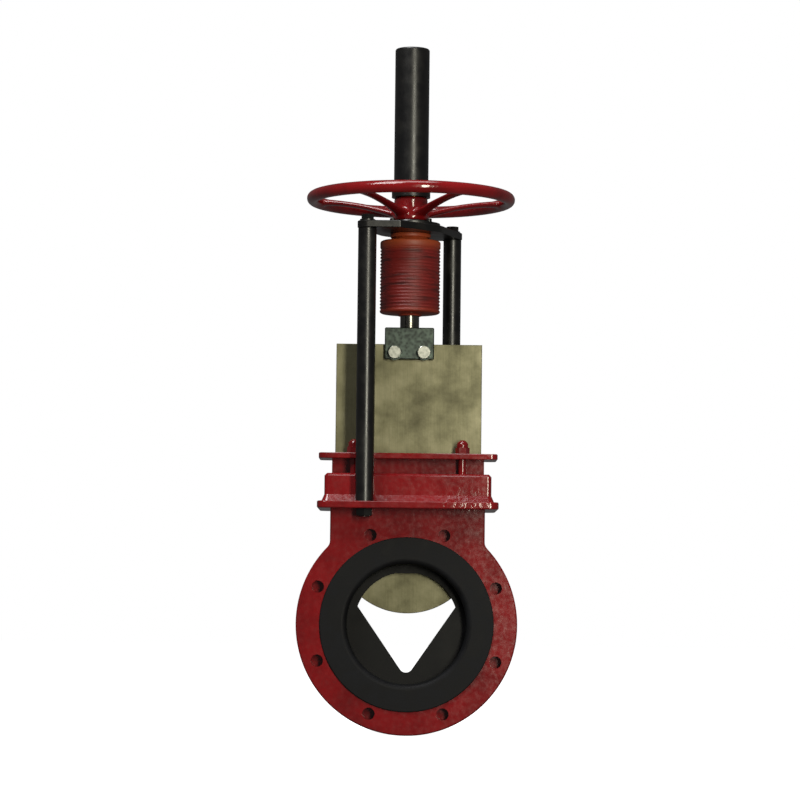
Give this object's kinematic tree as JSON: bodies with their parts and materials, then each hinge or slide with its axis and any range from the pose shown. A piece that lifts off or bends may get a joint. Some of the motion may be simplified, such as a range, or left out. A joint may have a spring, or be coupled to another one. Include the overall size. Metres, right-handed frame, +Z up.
{
  "type": "knife gate valve",
  "caption": "V-port knife gate valve with round tapped flanges, elastomer sleeves, sliding gate, gland, yoke columns, stem boot, handwheel and stem protector tube.",
  "frame": {"origin": "centre of the port on the middle plane of the gate, on the pipe's centre line", "axes": "+X to the right seen from the V-port face, +Y along the pipe to the rear face, +Z up the stem"},
  "size_m": [0.343, 0.329, 1.0805],
  "materials": {
    "red_enamel": "gloss",
    "black_enamel": "gloss",
    "black_elastomer": "matte",
    "black_liner": "satin",
    "stainless_plate": "satin",
    "zinc_steel": "satin",
    "stem_steel": "polished",
    "bearing_steel": "satin",
    "bronze": "satin",
    "braided_packing": "matte",
    "red_rubber": "satin"
  },
  "bodies": {
    "valve_frame": {"body": "red_enamel", "front_sleeve": "black_elastomer", "rear_sleeve": "black_elastomer", "v_orifice": "black_liner", "rear_seat": "black_liner", "packing_lower": "braided_packing", "packing_middle": "braided_packing", "packing_upper": "braided_packing", "gland_follower": "red_enamel", "gland_studs": "red_enamel", "gland_nuts": "red_enamel", "column_left": "black_enamel", "column_right": "black_enamel", "column_nuts": "black_enamel", "yoke_washers": "black_enamel", "yoke_bolts": "black_enamel", "yoke_plate": "black_enamel", "bearing_housing": "black_enamel", "housing_screws": "black_enamel", "race_lower": "bearing_steel", "race_upper": "bearing_steel", "boot_spigot": "black_enamel", "stem_boot": "red_rubber"},
    "sliding_gate": {"gate": "stainless_plate", "clevis": "zinc_steel", "clevis_bolts": "zinc_steel", "clevis_washers": "zinc_steel", "clevis_nuts": "zinc_steel", "stem": "stem_steel"},
    "turning_wheel": {"stem_nut": "bronze", "wheel_key": "bearing_steel", "handwheel": "red_enamel", "tube_socket": "black_enamel", "protector_tube": "black_enamel", "tube_cap": "black_enamel"}
  },
  "joints": [
    {"name": "handwheel_turn", "type": "hinge", "parent": "valve_frame", "child": "turning_wheel", "pos_m": [0, 0, 0.669], "axis": [0, 0, 1], "range_deg": [-7890, 5160]},
    {"name": "gate_slide", "type": "slide", "parent": "valve_frame", "child": "sliding_gate", "axis": [0, 0, 1], "range_m": [-0.1315, 0.086], "deforming": ["stem_boot"]}
  ],
  "couplings": [
    {"joint": "gate_slide", "follows": "handwheel_turn", "m_per_rad": 0.00095493}
  ]
}
